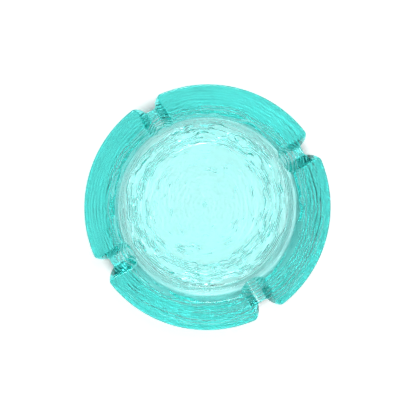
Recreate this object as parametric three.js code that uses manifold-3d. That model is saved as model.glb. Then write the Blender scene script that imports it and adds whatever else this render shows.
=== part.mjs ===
// A low round ashtray of heavy pressed glass: one moulded body with a round well, a broad rim that
// slopes gently inwards, four cigarette rests across the rim, and ridged rings round its foot.
// Millimetres, +Z up. The origin is the centre of the foot ring, on the surface it stands on.
// The rests lie on +X, +Y, -X and -Y.

import * as THREE from 'three';
import { mergeVertices } from 'three/addons/utils/BufferGeometryUtils.js';
import Module from 'manifold-3d';

// Overall sizes
const rimRadius = 54;
const height = 22;
const segments = 60;

// Foot and underside
const footInner = 27.0;
const footOuter = 30.5;
const undersideRecess = 0.3;
const baseRingPitch = 4.1;
const baseRingFlat = 0.2;
const baseRingDepth = 0.6;

// Flared outer wall: ridged up to a little above the knee, plain from there to the lip
const wallFoot = { r: 37.4, z: 0.7 };
const wallKnee = { r: 41.6, z: 5.9 };
const wallTop = { r: 53.0, z: 19.4 };
const ridgePitch = 2.05;
const ridgeHeight = 0.5;
const ridgesEndAbove = 3.0;

// Well and rim
const floorTop = 5.6;
const floorFillet = 1.2;
const wellRadius = 37.3;
const wellTop = { r: 38.5, z: 16.4 };
const shoulderCorner = { r: 38.9, z: 19.8 };
const rimInner = { r: 41.4, z: 20.5 };
const lipRadius = 1.7;
const lipFromDegrees = -15;
const lipToDegrees = 110;

// Rests: grooves that run down towards the well, side by side with the rim's own slope
const restCount = 4;
const restFloorWidth = 4.3;
const restTopWidth = 11;
const restDepth = 7.0;
const restSlope = THREE.MathUtils.degToRad(17);
const restFloorAt = { r: 48, z: 14.7 };
const restShoulder = 0.7;
const mouthStart = 49.5;
const mouthFlare = 3.0;
const mouthFlareLimit = 1.3;
const floorFlareShare = 0.15;
const cutterStart = 35;
const cutterLength = 24;
const cutterHeight = 16;
const cutterSteps = 12;

const wasm = await Module();
wasm.setup();

function point(r, z) {
  return new THREE.Vector2(r, z);
}

// Points of an arc about a centre, from one angle to the other in degrees.
function arc(centreR, centreZ, radius, fromDegrees, toDegrees, steps) {
  const points = [];
  for (let i = 0; i <= steps; i += 1) {
    const angle = THREE.MathUtils.degToRad(THREE.MathUtils.lerp(fromDegrees, toDegrees, i / steps));
    points.push(point(centreR + radius * Math.cos(angle), centreZ + radius * Math.sin(angle)));
  }
  return points;
}

// Shallow rings pressed into the underside, out to the foot.
function undersideOutline() {
  const points = [point(0, undersideRecess)];
  const ringCount = Math.floor(footInner / baseRingPitch);
  for (let i = 0; i < ringCount; i += 1) {
    points.push(point((i + 0.5) * baseRingPitch, undersideRecess + baseRingDepth));
    points.push(point((i + 1) * baseRingPitch - baseRingFlat, undersideRecess));
  }
  points.push(point(footInner, 0), point(footOuter, 0));
  return points;
}

// One straight stretch of the wall, with a rounded ridge every pitch. Each ridge stands out by what
// ridgeAt gives for its distance along the stretch.
function ridgedLine(from, to, ridgeAt) {
  const run = to.r - from.r;
  const rise = to.z - from.z;
  const length = Math.hypot(run, rise);
  const ridgeCount = Math.round(length / ridgePitch);
  const points = [];
  for (let i = 0; i < ridgeCount; i += 1) {
    const foot = i / ridgeCount;
    const crest = (i + 0.5) / ridgeCount;
    const lift = ridgeAt(crest * length);
    points.push(point(from.r + run * foot, from.z + rise * foot));
    if (lift > 0) {
      const r = from.r + run * crest + lift * (rise / length);
      points.push(point(r, from.z + rise * crest - lift * (run / length)));
    }
  }
  return points;
}

// The flared wall, its ridges dying away above the knee.
function wallOutline() {
  const fading = (along) => ridgeHeight * Math.max(0, 1 - along / ridgesEndAbove);
  const lower = ridgedLine(wallFoot, wallKnee, () => ridgeHeight);
  const upper = ridgedLine(wallKnee, wallTop, fading);
  return [...lower, ...upper, point(wallTop.r, wallTop.z)];
}

// Over the rounded lip, down the rim's slope, round the shoulder, down the well and across its floor.
function insideOutline() {
  const lip = arc(rimRadius - lipRadius, height - lipRadius, lipRadius, lipFromDegrees, lipToDegrees, 6);
  const shoulder = new THREE.QuadraticBezierCurve(
    point(rimInner.r, rimInner.z),
    point(shoulderCorner.r, shoulderCorner.z),
    point(wellTop.r, wellTop.z),
  );
  const fillet = arc(wellRadius - floorFillet, floorTop + floorFillet, floorFillet, 0, -90, 3);
  return [...lip, ...shoulder.getPoints(4), ...fillet, point(0, floorTop)];
}

// A closed geometry with shared vertices and no collapsed triangles, as a manifold solid.
function toSolid(geometry) {
  const bare = geometry.clone();
  bare.deleteAttribute('normal');
  bare.deleteAttribute('uv');
  const merged = mergeVertices(bare, 1e-4);
  const triangles = [];
  for (let i = 0; i < merged.index.count; i += 3) {
    const corners = [merged.index.getX(i), merged.index.getX(i + 1), merged.index.getX(i + 2)];
    if (new Set(corners).size === 3) {
      triangles.push(...corners);
    }
  }
  return new wasm.Manifold(new wasm.Mesh({
    numProp: 3,
    vertProperties: new Float32Array(merged.attributes.position.array),
    triVerts: new Uint32Array(triangles),
  }));
}

function toGeometry(solid) {
  const mesh = solid.getMesh();
  const geometry = new THREE.BufferGeometry();
  geometry.setAttribute('position', new THREE.BufferAttribute(mesh.vertProperties, 3));
  geometry.setIndex(new THREE.BufferAttribute(mesh.triVerts, 1));
  geometry.computeVertexNormals();
  return geometry;
}

// The groove's section: a flat floor, leaning sides and shoulders that roll over onto the rim.
function restSection() {
  const floorHalf = restFloorWidth / 2;
  const topHalf = restTopWidth / 2;
  const lean = Math.atan2(restDepth, topHalf - floorHalf);
  const centreX = topHalf + restShoulder * Math.tan(lean / 2);
  const centreY = restDepth - restShoulder;
  const leanDegrees = THREE.MathUtils.radToDeg(lean);
  const shoulder = arc(centreX, centreY, restShoulder, 90 + leanDegrees, 90, 3);
  const clearOfRim = point(centreX + restShoulder, cutterHeight);
  const right = [point(floorHalf, 0), ...shoulder, clearOfRim];
  const left = right.map((corner) => point(-corner.x, corner.y)).reverse();
  return new THREE.Shape([...right, ...left]);
}

// One cutter lying along +X, its mouth widening where it leaves the rim.
function restCutter() {
  const options = { depth: cutterLength, steps: cutterSteps, bevelEnabled: false };
  const geometry = new THREE.ExtrudeGeometry(restSection(), options);
  const position = geometry.attributes.position;
  for (let i = 0; i < position.count; i += 1) {
    const beyond = (cutterStart + position.getZ(i) - mouthStart) / (rimRadius - mouthStart);
    const raised = THREE.MathUtils.clamp(position.getY(i) / restDepth, 0, 1);
    const share = THREE.MathUtils.lerp(floorFlareShare, 1, raised);
    const flare = mouthFlare * share * THREE.MathUtils.clamp(beyond, 0, mouthFlareLimit) ** 2;
    position.setX(i, position.getX(i) + Math.sign(position.getX(i)) * flare);
  }
  const across = new THREE.Vector3(0, 1, 0);
  const up = new THREE.Vector3(-Math.sin(restSlope), 0, Math.cos(restSlope));
  const outward = new THREE.Vector3(Math.cos(restSlope), 0, Math.sin(restSlope));
  const startHeight = restFloorAt.z - (restFloorAt.r - cutterStart) * Math.tan(restSlope);
  const place = new THREE.Matrix4().makeBasis(across, up, outward).setPosition(cutterStart, 0, startHeight);
  return geometry.applyMatrix4(place);
}

function ashtray() {
  const outline = [...undersideOutline(), ...wallOutline(), ...insideOutline()];
  const lathe = new THREE.LatheGeometry(outline, segments).rotateX(Math.PI / 2);
  let body = toSolid(lathe);
  const cutter = restCutter();
  for (let i = 0; i < restCount; i += 1) {
    const turned = cutter.clone().rotateZ((i * 2 * Math.PI) / restCount);
    body = body.subtract(toSolid(turned));
  }
  const glass = new THREE.MeshStandardMaterial({
    name: 'aqua_glass',
    color: 0x5fded6,
    roughness: 0.05,
    metalness: 0,
    transparent: true,
    opacity: 0.6,
  });
  const mesh = new THREE.Mesh(toGeometry(body), glass);
  mesh.name = 'ashtray_glass';
  return mesh;
}

const group = new THREE.Group();
group.name = 'ashtray';
group.add(ashtray());

export default group;
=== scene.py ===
"""A low round ashtray of pressed aqua glass on a pale floor, seen from almost straight above.

The glass is one closed mesh. For each angle round the dish it follows one outline: over the well's floor, up
the well, across the rim, over the lip, down the ridged outside and back in under the ringed base. The rests
pull that outline down where they cross the rim. Lengths are millimetres until they are handed to Blender.
"""

import math

import bpy
import numpy as np
from mathutils import Matrix, Vector


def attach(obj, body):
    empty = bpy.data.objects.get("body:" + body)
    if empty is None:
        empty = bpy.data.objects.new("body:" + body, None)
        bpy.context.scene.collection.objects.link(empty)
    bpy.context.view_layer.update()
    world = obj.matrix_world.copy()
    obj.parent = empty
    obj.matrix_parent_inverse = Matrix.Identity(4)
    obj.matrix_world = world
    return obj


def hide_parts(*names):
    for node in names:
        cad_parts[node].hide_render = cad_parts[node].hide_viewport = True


MM = 0.001
SEED = 7

# ---------------------------------------------------------------- sizes

# The dish. Pairs are radius and height.
RIM_RADIUS = 54.0
HEIGHT = 22.0
FOOT_INNER = 27.0
FOOT_OUTER = 30.5
UNDERSIDE_LIFT = 0.3
WALL_FOOT = (37.4, 0.7)
WALL_KNEE = (41.6, 5.9)
WALL_TOP = (53.0, 20.4)
FLOOR_TOP = 5.6
FLOOR_FILLET = 1.2
WELL_RADIUS = 37.3
WELL_TOP = (38.5, 16.4)
SHOULDER_CORNER = (38.9, 19.8)
RIM_INNER = (41.4, 20.5)
RIM_OUTER = (51.7, 21.9)

# The rests
REST_COUNT = 4
REST_FLOOR_WIDTH = 4.3
REST_TOP_WIDTH = 11.0
REST_DEPTH = 7.0
REST_SLOPE = math.radians(17)
REST_FLOOR_AT = (48.0, 14.7)
REST_SHOULDER = 0.7
REST_FLOOR_ROUNDING = 0.25
MOUTH_START = 49.5
MOUTH_FLARE = 3.0
MOUTH_FLARE_LIMIT = 1.3
FLOOR_FLARE_SHARE = 0.15
# A rest ends this far inside the well's wall, where its groove climbs this steeply out of the way.
REST_END = 0.5
REST_END_CLIMB = 6

# Edges
FOOT_STEP = 0.6
OUTSIDE_ROUNDING = 0.4
RIM_TOP_LIFT = 0.05
RIM_TOP_ROUNDING = 0.5
LIP_REACH = 4.0
LIP_ROUNDING = 0.7
# The wall's line runs past the rim by this much outwards and upwards, so that the two always cross.
PAST_RIM = (0.35, 1.5)
# The crossing is looked for from this far beyond the foot, at every fourth point of the outside's path.
CROSSING_BEYOND_FOOT = 4.0
CROSSING_STRIDE = 4

# Ridges. Depth is that of the hollows between them, and a smaller sharpness means a sharper ridge. Both are
# set at distances from the middle of the underside, measured along the surface.
RIDGE_PITCH = 2.05
RIDGE_ALONG = (0.0, 24.0, 33.0, 50.0, 70.0)
RIDGE_DEPTH = (0.25, 0.4, 1.0, 0.05, 0.04)
RIDGE_SHARPNESS = (1.0, 0.95, 1.05, 2.0, 2.0)
RIDGE_WANDER = 0.45
RIDGE_FINE_WANDER = 0.2025
RIDGE_UNEVENNESS = 0.45
# Nearer to the middle than this the ridges wander less, down to a smallest share.
STEADY_WITHIN = 18
STEADY_LEAST = 0.05

# Faint waves on the well's floor and the rim's top, and the distances over which they fade in at the edges
FLOOR_RIPPLE = 0.2
FLOOR_RIPPLE_SHARPNESS = 1.0
FLOOR_RIPPLE_FADE = 1.5
RIM_PEBBLE = 0.004
RIM_PEBBLE_FADE = 2.0

# Noise patterns: length of a cell, how many cells there are along the outline, and how many round the dish
WANDER_CELLS = (3.4, 24, 24)
FINE_WANDER_CELLS = (1.9, 40, 66)
UNEVENNESS_CELLS = (2.6, 30, 36)
PEBBLE_CELLS = (1.1, 14, 220)
OUTSIDE_SEED = 11
FLOOR_SEED = 51
PEBBLE_SEED = 61

# How finely the mesh is cut
ANGLES = 800
REST_CROWDING = 0.4
OUTSIDE_STEP = 0.02
SLOPE_REACH = 0.1
LIP_STEP = 0.16
LIP_RINGS = round(LIP_REACH / LIP_STEP)
FLOOR_RINGS = 40
FLOOR_RINGS_END = 0.6
FILLET_RINGS = 9
WELL_RINGS = 12
SHOULDER_RINGS = 14
RIM_RINGS = 40
WALL_RINGS = 160
BASE_RINGS = 280
INNERMOST_TOP = 0.5
INNERMOST_BASE = 0.4

# ---------------------------------------------------------------- glass, light and camera

# Noise in a material: scale and detail
HAZE_NOISE = (90.0, 3.0)
SKIN_NOISE = (420.0, 2.0)
GRAIN_NOISE = (60.0, 4.0)

# Glass. Light is taken up along its way: red strongly, green and blue hardly.
IOR = 1.52
ABSORBED_PER_METRE = (80.0, 4.4, 6.4)
HAZE_FROM = (0.55, 0.8)
HAZE_ROUGHNESS = (0.0, 0.06)
SKIN_BUMP = 0.12
SKIN_BUMP_HEIGHT = 0.2

# The floor gives off some light of its own, painted light that stands in for the light the glass keeps off
# the floor under it. It gives off none in a ring of painted shadow, which lies under the overhanging rim:
# the light runs out between the first two radii and comes back between the last two. The first two are
# round a point that is off centre, in a direction given as an angle in the picture.
FLOOR_HALF = 3000.0
FLOOR_GAP = 0.2
FLOOR_ROUGHNESS = 0.9
FLOOR_SHADE = (0.88, 0.92)
PAPER_GLOW = 0.31
PAPER_GLOW_AROUND = 0.6
PAINTED_SHADOW_RING = (41.0, 45.0, 48.0, 53.0)
GLOW_OFF_CENTRE = 3.0
GLOW_TOWARDS = 135

# The room's brightness changes from HORIZON to ZENITH between two heights, which are sines of elevation. The
# dark patch fades in between two cosines of the angle from its middle. Directions are an angle, in degrees
# counter-clockwise from the picture's right, and an elevation.
HORIZON = 0.03
ZENITH = 0.71
ROOM_RISE = (0.4, 0.8)
DARK_PATCH = (180, 8)
DARK_PATCH_FADE = (0.55, 0.85)
DARK_PATCH_LIGHT = 0.02
KEY = (88, 70)
KEY_SIZE = 300.0
KEY_POWER = 2.2
FILL = (229, 70)
FILL_SIZE = 100.0
FILL_POWER = 0.6
LIGHT_DISTANCE = 1100.0

# The picture's right-hand direction is turned this far from the frame's +X.
ROLL = math.radians(-30.3)
CAMERA_DISTANCE = 800.0
CAMERA_TILT = 6.0
CAMERA_TILT_TOWARDS = 125
PICTURE_WIDTH = 179.7
SENSOR_WIDTH = 36
NEAREST_SEEN = 10.0
GLASS_BOUNCES = 24
MIRROR_BOUNCES = 12


# ---------------------------------------------------------------- noise


def smooth_step(t):
    return t * t * t * (t * (6 * t - 15) + 10)


def ring_noise(distance, angle, seed, cells):
    """Smooth noise from -1 to 1 that closes on itself round the dish."""
    length, cells_along, cells_round = cells
    lattice = np.random.default_rng(SEED * 1000 + seed).uniform(-1, 1, (cells_along + 2, cells_round))
    u = np.clip(distance / length, 0, cells_along)
    v = np.mod(angle / (2 * math.pi), 1) * cells_round
    i, j = np.floor(u).astype(int), np.floor(v).astype(int)
    fu, fv = smooth_step(u - i), smooth_step(v - j)
    near, far = j % cells_round, (j + 1) % cells_round
    low = lattice[i, near] * (1 - fv) + lattice[i, far] * fv
    high = lattice[i + 1, near] * (1 - fv) + lattice[i + 1, far] * fv
    return low * (1 - fu) + high * fu


# ---------------------------------------------------------------- curves


def smooth_min(a, b, width):
    blend = np.clip(0.5 + 0.5 * (b - a) / width, 0, 1)
    return b * (1 - blend) + a * blend - width * blend * (1 - blend)


def soft_ramp(x, width):
    """max(0, x) with its corner rounded over about width."""
    return 0.5 * (x + np.sqrt(x * x + width * width))


def arc(centre, radius, start, end, count):
    turn = np.radians(np.linspace(start, end, count))
    return np.column_stack([centre[0] + radius * np.cos(turn), centre[1] + radius * np.sin(turn)])


def bezier(a, b, c, count):
    t = np.linspace(0, 1, count)[:, None]
    return (1 - t) ** 2 * np.array(a) + 2 * t * (1 - t) * np.array(b) + t**2 * np.array(c)


def bell(reach, step, width):
    """Weights that add up to 1, for averaging over neighbours up to reach steps away."""
    weights = np.exp(-((np.arange(-reach, reach + 1) * step / width) ** 2) / 2)
    return weights / weights.sum()


def rounded_path(corners, step, rounding):
    """Closely spaced points on a path with rounded corners, and the distance along it to each."""
    corners = np.array(corners)
    lengths = np.concatenate([[0], np.cumsum(np.hypot(*np.diff(corners, axis=0).T))])
    s = np.arange(0, lengths[-1], step)
    reach = int(3 * rounding / step)
    kernel = bell(reach, step, rounding)
    path = np.column_stack([np.interp(s, lengths, corners[:, k]) for k in (0, 1)])
    padded = np.pad(path, ((reach, reach), (0, 0)), mode="edge")
    return s, np.column_stack([np.convolve(padded[:, k], kernel, mode="valid") for k in (0, 1)])


# ---------------------------------------------------------------- top of the dish


def rest_height(r, angle):
    """Height of the nearest rest's groove, which is far above the glass away from the rests."""
    turn = 2 * math.pi / REST_COUNT
    local = np.mod(angle + turn / 2, turn) - turn / 2
    x = r * np.cos(local)
    y = np.abs(r * np.sin(local))
    beyond = np.clip((x - MOUTH_START) / (RIM_RADIUS - MOUTH_START), 0, MOUTH_FLARE_LIMIT)
    flare = MOUTH_FLARE * beyond**2
    floor_half = REST_FLOOR_WIDTH / 2 + FLOOR_FLARE_SHARE * flare
    top_half = REST_TOP_WIDTH / 2 + flare
    lean = REST_DEPTH / (top_half - floor_half)
    floor = REST_FLOOR_AT[1] + (x - REST_FLOOR_AT[0]) * math.tan(REST_SLOPE)
    past_end = np.maximum(0, WELL_RADIUS - REST_END - x)
    return floor + soft_ramp(y - floor_half, REST_FLOOR_ROUNDING) * lean + REST_END_CLIMB * past_end


def with_rests(r, z, angle):
    """The height of the top surface once the rests are cut."""
    return smooth_min(z, rest_height(r, angle), REST_SHOULDER)


def well_outline():
    """From near the centre of the floor to the top of the shoulder."""
    floor_edge = WELL_RADIUS - FLOOR_FILLET
    floor_r = np.linspace(INNERMOST_TOP, floor_edge - FLOOR_RINGS_END, FLOOR_RINGS)
    floor = np.column_stack([floor_r, np.full(FLOOR_RINGS, FLOOR_TOP)])
    fillet = arc((floor_edge, FLOOR_TOP + FLOOR_FILLET), FLOOR_FILLET, -90, 0, FILLET_RINGS)
    climb = np.linspace(0, 1, WELL_RINGS + 2)[1:-1, None]
    wall = fillet[-1] * (1 - climb) + np.array(WELL_TOP) * climb
    shoulder = bezier(WELL_TOP, SHOULDER_CORNER, RIM_INNER, SHOULDER_RINGS)
    return np.vstack([floor, fillet, wall, shoulder])


def rim_height(r):
    slope = (RIM_OUTER[1] - RIM_INNER[1]) / (RIM_OUTER[0] - RIM_INNER[0])
    rising = RIM_INNER[1] + slope * (r - RIM_INNER[0])
    return smooth_min(rising, np.full_like(r, HEIGHT + RIM_TOP_LIFT), RIM_TOP_ROUNDING)


def rim_pebble(r, angle):
    """The faint hammered look of the rim's top."""
    past_shoulder = r - RIM_INNER[0]
    fade = np.clip(past_shoulder / RIM_PEBBLE_FADE, 0, 1)
    return RIM_PEBBLE * fade * ring_noise(past_shoulder, angle, PEBBLE_SEED, PEBBLE_CELLS)


# ---------------------------------------------------------------- outside of the dish

OUTSIDE_S, OUTSIDE = rounded_path(
    [
        (0, UNDERSIDE_LIFT),
        (FOOT_INNER - FOOT_STEP, UNDERSIDE_LIFT),
        (FOOT_INNER, 0),
        (FOOT_OUTER, 0),
        WALL_FOOT,
        WALL_KNEE,
        WALL_TOP,
        (RIM_RADIUS + PAST_RIM[0], HEIGHT + PAST_RIM[1]),
    ],
    OUTSIDE_STEP,
    OUTSIDE_ROUNDING,
)


def outside_at(s):
    return np.interp(s, OUTSIDE_S, OUTSIDE[:, 0]), np.interp(s, OUTSIDE_S, OUTSIDE[:, 1])


def ridge_wave(along, angle, seed, sharpness):
    """Hollows between sharp wandering ridges: 0 on a ridge and about 1 in the middle of a hollow."""
    steady = np.clip(along / STEADY_WITHIN, STEADY_LEAST, 1)
    wander = RIDGE_WANDER * ring_noise(along, angle, seed, WANDER_CELLS)
    wander += RIDGE_FINE_WANDER * ring_noise(along, angle, seed + 1, FINE_WANDER_CELLS)
    wave = np.abs(np.sin(math.pi * (along / RIDGE_PITCH + steady * wander)))
    strength = 1 + RIDGE_UNEVENNESS * ring_noise(along, angle, seed + 2, UNEVENNESS_CELLS)
    return strength * wave**sharpness


def floor_ripple(r, angle):
    """The same waves on the well's floor, far shallower."""
    fade_in = np.clip(r / FLOOR_RIPPLE_FADE, 0, 1)
    fade_out = np.clip((WELL_RADIUS - FLOOR_FILLET - r) / FLOOR_RIPPLE_FADE, 0, 1)
    wave = ridge_wave(r, angle, FLOOR_SEED, FLOOR_RIPPLE_SHARPNESS)
    return FLOOR_RIPPLE * fade_in * fade_out * (wave - 0.5)


def outside_surface(s, angle):
    """Radius and height of the ridged outside at a distance s from the middle of the underside."""
    r, z = outside_at(s)
    near, far = outside_at(s - SLOPE_REACH), outside_at(s + SLOPE_REACH)
    along_r, along_z = far[0] - near[0], far[1] - near[1]
    length = np.hypot(along_r, along_z)
    sharpness = np.interp(s, RIDGE_ALONG, RIDGE_SHARPNESS)
    depth = np.interp(s, RIDGE_ALONG, RIDGE_DEPTH)
    hollow = depth * ridge_wave(s, angle, OUTSIDE_SEED, sharpness)
    return r - hollow * along_z / length, z + hollow * along_r / length


def corner_with_rim(angles):
    """Distance along the outside at which it meets the rim or a rest, for each angle."""
    searched = OUTSIDE_S > FOOT_OUTER + CROSSING_BEYOND_FOOT
    s, path = OUTSIDE_S[searched][::CROSSING_STRIDE], OUTSIDE[searched][::CROSSING_STRIDE]
    radius = path[None, :, 0]
    gap = with_rests(radius, rim_height(radius), angles[:, None]) - path[None, :, 1]
    after = np.argmax(gap < 0, axis=1)
    rows = np.arange(len(angles))
    above, below = gap[rows, after - 1], gap[rows, after]
    return s[after - 1] + (s[1] - s[0]) * above / (above - below)


# ---------------------------------------------------------------- grid of rings and angles


def well_rings(column):
    """From the centre of the floor to the shoulder."""
    outline = well_outline()
    r = np.broadcast_to(outline[:, 0], (ANGLES, len(outline)))
    z = outline[:, 1] + floor_ripple(r, column)
    return r, with_rests(r, z, column)


def rim_rings(column, corner_r):
    """From the shoulder to the lip, spaced evenly and then, near the lip, closely."""
    lip_start = corner_r - LIP_REACH
    share = np.linspace(0, 1, RIM_RINGS + 2)[None, 1:-1]
    even = RIM_INNER[0] + (lip_start - RIM_INNER[0]) * share
    close = lip_start + LIP_REACH * np.linspace(0, 1, LIP_RINGS + 1)[None, :]
    r = np.hstack([even, close])
    return r, with_rests(r, rim_height(r) + rim_pebble(r, column), column)


def outside_rings(column, top_s):
    """From just under the lip, down the wall and in under the base."""
    lip = top_s - LIP_STEP * np.arange(1, LIP_RINGS + 1)[None, :]
    share = np.linspace(0, 1, WALL_RINGS + 1)[None, 1:]
    wall = lip[:, -1:] * (1 - share) + FOOT_OUTER * share
    base = np.linspace(FOOT_OUTER, INNERMOST_BASE, BASE_RINGS + 1)[None, 1:]
    base = np.broadcast_to(base, (ANGLES, BASE_RINGS))
    return outside_surface(np.hstack([lip, wall, base]), column)


def round_the_lip(r, z, corner):
    """Rounds the corner between top and outside: points near it move to the average of their neighbours."""
    reach = LIP_RINGS - 2
    kernel = bell(reach, LIP_STEP, LIP_ROUNDING)
    window = np.arange(corner - reach, corner + reach + 1)
    weight = np.cos(np.linspace(-1, 1, len(window)) * math.pi / 2) ** 0.5
    for values in (r, z):
        spread = values[:, window[0] - reach : window[-1] + reach + 1]
        average = sum(kernel[k] * spread[:, k : k + len(window)] for k in range(len(kernel)))
        values[:, window] = values[:, window] * (1 - weight) + average * weight


def glass_grid():
    """Radius and height of every ring of the mesh, for each angle round the dish."""
    angles = np.linspace(0, 2 * math.pi, ANGLES, endpoint=False)
    angles = angles - REST_CROWDING * np.sin(REST_COUNT * angles) / REST_COUNT
    column = angles[:, None]
    top_s = corner_with_rim(angles)[:, None]
    well = well_rings(column)
    rim = rim_rings(column, outside_at(top_s)[0])
    outside = outside_rings(column, top_s)
    r, z = (np.hstack(parts) for parts in zip(well, rim, outside))
    round_the_lip(r, z, well[0].shape[1] + rim[0].shape[1] - 1)
    return angles, r, z


# ---------------------------------------------------------------- mesh


def glass_faces(rings):
    """Squares between neighbouring angles, and a fan of triangles round each of the two middle points."""
    here = (np.arange(ANGLES) * rings)[:, None]
    there = (np.roll(np.arange(ANGLES), -1) * rings)[:, None]
    ring = np.arange(rings - 1)[None, :]
    squares = np.stack([here + ring, here + ring + 1, there + ring + 1, there + ring], axis=-1)
    top = ANGLES * rings
    bottom = top + 1
    starts = list(zip(here[:, 0].tolist(), there[:, 0].tolist()))
    fan_top = [(top, a, b) for a, b in starts]
    fan_bottom = [(bottom, b + rings - 1, a + rings - 1) for a, b in starts]
    return squares.reshape(-1, 4).tolist() + fan_top + fan_bottom


def glass_mesh():
    angles, r, z = glass_grid()
    x = r * np.cos(angles)[:, None]
    y = r * np.sin(angles)[:, None]
    body = np.stack([x, y, z], axis=-1).reshape(-1, 3)
    poles = [[0, 0, z[:, 0].mean()], [0, 0, z[:, -1].mean()]]
    vertices = np.vstack([body, poles]) * MM
    mesh = bpy.data.meshes.new("ashtray_glass_fine")
    mesh.from_pydata(vertices.tolist(), [], glass_faces(r.shape[1]))
    mesh.validate()
    mesh.shade_smooth()
    return mesh


# ---------------------------------------------------------------- shader nodes


def node(tree, kind, **values):
    made = tree.nodes.new(kind)
    for name, value in values.items():
        made.inputs[name.replace("_", " ")].default_value = value
    return made


def noise(tree, pattern, place=None):
    """Noise of a pattern's scale and detail, at a place or at the object's own generated one."""
    made = node(tree, "ShaderNodeTexNoise", Scale=pattern[0], Detail=pattern[1])
    if place:
        tree.links.new(place, made.inputs["Vector"])
    return made.outputs["Fac"]


def remap(tree, value, old, new):
    """The value with the range old stretched to the range new, and held at its ends."""
    made = node(tree, "ShaderNodeMapRange", From_Min=old[0], From_Max=old[1], To_Min=new[0], To_Max=new[1])
    tree.links.new(value, made.inputs["Value"])
    return made.outputs["Result"]


def measure(tree, operation, vector, other):
    """DISTANCE or DOT_PRODUCT of a vector and a fixed one."""
    made = tree.nodes.new("ShaderNodeVectorMath")
    made.operation = operation
    made.inputs[1].default_value = other
    tree.links.new(vector, made.inputs[0])
    return made.outputs["Value"]


def combine(tree, operation, a, b):
    """ADD or MULTIPLY of two values."""
    made = tree.nodes.new("ShaderNodeMath")
    made.operation = operation
    tree.links.new(a, made.inputs[0])
    tree.links.new(b, made.inputs[1])
    return made.outputs["Value"]


def new_material(name):
    """A material, its node tree and its main shader."""
    material = bpy.data.materials.new(name)
    material.use_nodes = True
    return material, material.node_tree, material.node_tree.nodes["Principled BSDF"]


# ---------------------------------------------------------------- materials


def add_tint(tree):
    """The glass's colour, which comes from its depth only."""
    tint = tree.nodes.new("ShaderNodeVolumeAbsorption")
    per_metre = np.array(ABSORBED_PER_METRE)
    tint.inputs["Density"].default_value = per_metre.max()
    tint.inputs["Color"].default_value = (*(1 - per_metre / per_metre.max()), 1)
    tree.links.new(tint.outputs["Volume"], tree.nodes["Material Output"].inputs["Volume"])


def glass_material():
    """Clear glass, slightly hazy in patches, with a faintly uneven skin."""
    material, tree, shader = new_material("aqua_glass_ridged")
    shader.inputs["Base Color"].default_value = (1, 1, 1, 1)
    shader.inputs["IOR"].default_value = IOR
    shader.inputs["Transmission Weight"].default_value = 1.0
    place = tree.nodes.new("ShaderNodeTexCoord").outputs["Object"]
    haze = remap(tree, noise(tree, HAZE_NOISE, place), HAZE_FROM, HAZE_ROUGHNESS)
    tree.links.new(haze, shader.inputs["Roughness"])
    skin = node(tree, "ShaderNodeBump", Strength=SKIN_BUMP, Distance=SKIN_BUMP_HEIGHT * MM)
    tree.links.new(noise(tree, SKIN_NOISE, place), skin.inputs["Height"])
    tree.links.new(skin.outputs["Normal"], shader.inputs["Normal"])
    add_tint(tree)
    return material


def painted_floor_light(tree):
    """The floor's own painted light, inside and outside the ring of painted shadow."""
    place = tree.nodes.new("ShaderNodeTexCoord").outputs["Object"]
    well_edge, shade_start, shade_end, open_paper = (radius * MM for radius in PAINTED_SHADOW_RING)
    centre = from_picture(GLOW_TOWARDS, 0) * GLOW_OFF_CENTRE * MM
    from_centre = measure(tree, "DISTANCE", place, centre)
    from_dish = measure(tree, "DISTANCE", place, (0, 0, 0))
    inside = remap(tree, from_centre, (well_edge, shade_start), (PAPER_GLOW, 0.0))
    outside = remap(tree, from_dish, (shade_end, open_paper), (0.0, PAPER_GLOW_AROUND))
    return combine(tree, "ADD", inside, outside)


def floor_material():
    material, tree, shader = new_material("pale_floor")
    shader.inputs["Specular IOR Level"].default_value = 0.0
    shader.inputs["Roughness"].default_value = FLOOR_ROUGHNESS
    shader.inputs["Emission Color"].default_value = (1, 1, 1, 1)
    # The floor's emission is painted light, with a ring of painted shadow under the overhanging rim.
    tree.links.new(painted_floor_light(tree), shader.inputs["Emission Strength"])
    shade = remap(tree, noise(tree, GRAIN_NOISE), (0, 1), FLOOR_SHADE)
    tree.links.new(shade, shader.inputs["Base Color"])
    return material


# ---------------------------------------------------------------- scene


def add_object(name, data):
    made = bpy.data.objects.new(name, data)
    bpy.context.collection.objects.link(made)
    return made


def add_glass():
    mesh = glass_mesh()
    mesh.materials.append(glass_material())
    glass = add_object("ashtray_glass_fine", mesh)
    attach(glass, "root")
    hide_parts("ashtray_glass")


def add_floor():
    """A flat floor just below the foot."""
    half = FLOOR_HALF * MM
    down = -FLOOR_GAP * MM
    mesh = bpy.data.meshes.new("floor")
    corners = [(-half, -half, down), (half, -half, down), (half, half, down), (-half, half, down)]
    mesh.from_pydata(corners, [], [(0, 1, 2, 3)])
    mesh.materials.append(floor_material())
    add_object("floor", mesh)


def from_picture(degrees, elevation):
    """Unit vector towards a direction given by its angle in the picture and its height above the floor."""
    turn = math.radians(degrees) + ROLL
    rise = math.radians(elevation)
    return Vector((math.cos(turn) * math.cos(rise), math.sin(turn) * math.cos(rise), math.sin(rise)))


def add_area_light(name, direction, size, power):
    light = bpy.data.lights.new(name, "AREA")
    light.size = size * MM
    light.energy = power
    made = add_object(name, light)
    made.location = direction * LIGHT_DISTANCE * MM
    made.rotation_euler = (-direction).to_track_quat("-Z", "Y").to_euler()


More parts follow.
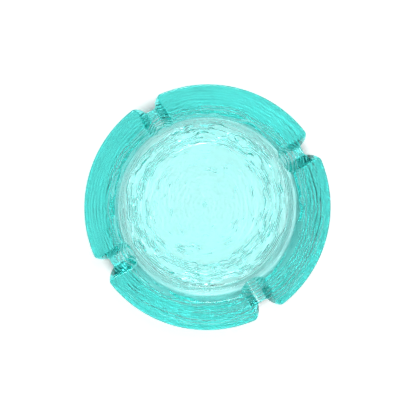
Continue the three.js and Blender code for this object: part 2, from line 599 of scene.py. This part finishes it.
def add_room():
    """A white room, dim at the horizon and bright overhead, with one dark patch low on the picture's left."""
    world = bpy.data.worlds.new("white_room")
    world.use_nodes = True
    bpy.context.scene.world = world
    tree = world.node_tree
    direction = tree.nodes.new("ShaderNodeTexCoord").outputs["Generated"]
    split = tree.nodes.new("ShaderNodeSeparateXYZ")
    tree.links.new(direction, split.inputs["Vector"])
    rise = remap(tree, split.outputs["Z"], ROOM_RISE, (HORIZON, ZENITH))
    facing = measure(tree, "DOT_PRODUCT", direction, from_picture(*DARK_PATCH))
    fade = remap(tree, facing, DARK_PATCH_FADE, (1.0, DARK_PATCH_LIGHT))
    background = tree.nodes["Background"]
    background.inputs["Color"].default_value = (1, 1, 1, 1)
    tree.links.new(combine(tree, "MULTIPLY", rise, fade), background.inputs["Strength"])


def add_camera():
    """Looks down at the middle of the rim, tilted a few degrees towards the picture's upper left."""
    back = from_picture(CAMERA_TILT_TOWARDS, 90 - CAMERA_TILT)
    right = from_picture(90, 0).cross(back).normalized()
    up = back.cross(right)
    camera = bpy.data.cameras.new("camera")
    camera.sensor_width = SENSOR_WIDTH
    camera.lens = SENSOR_WIDTH * CAMERA_DISTANCE / PICTURE_WIDTH
    camera.clip_start = NEAREST_SEEN * MM
    made = add_object("camera", camera)
    place = Vector((0, 0, HEIGHT * MM)) + back * CAMERA_DISTANCE * MM
    turned = Matrix((right, up, back)).transposed().to_4x4()
    made.matrix_world = Matrix.Translation(place) @ turned
    bpy.context.scene.camera = made


def set_light_paths():
    """How far light is followed through the glass, and a plain view transform."""
    scene = bpy.context.scene
    scene.view_settings.view_transform = "Standard"
    scene.cycles.max_bounces = GLASS_BOUNCES
    scene.cycles.transmission_bounces = GLASS_BOUNCES
    scene.cycles.glossy_bounces = MIRROR_BOUNCES
    scene.cycles.caustics_refractive = True
    scene.cycles.caustics_reflective = True
    scene.cycles.blur_glossy = 0.0


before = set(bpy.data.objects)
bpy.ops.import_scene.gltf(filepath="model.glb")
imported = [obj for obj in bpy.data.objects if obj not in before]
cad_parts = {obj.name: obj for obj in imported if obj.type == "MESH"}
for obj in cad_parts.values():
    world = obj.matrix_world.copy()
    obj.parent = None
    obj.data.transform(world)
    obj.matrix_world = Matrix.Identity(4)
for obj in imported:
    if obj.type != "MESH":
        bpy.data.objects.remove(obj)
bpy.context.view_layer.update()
add_glass()
add_floor()
add_room()
add_area_light("key", from_picture(*KEY), KEY_SIZE, KEY_POWER)
add_area_light("fill", from_picture(*FILL), FILL_SIZE, FILL_POWER)
add_camera()
set_light_paths()
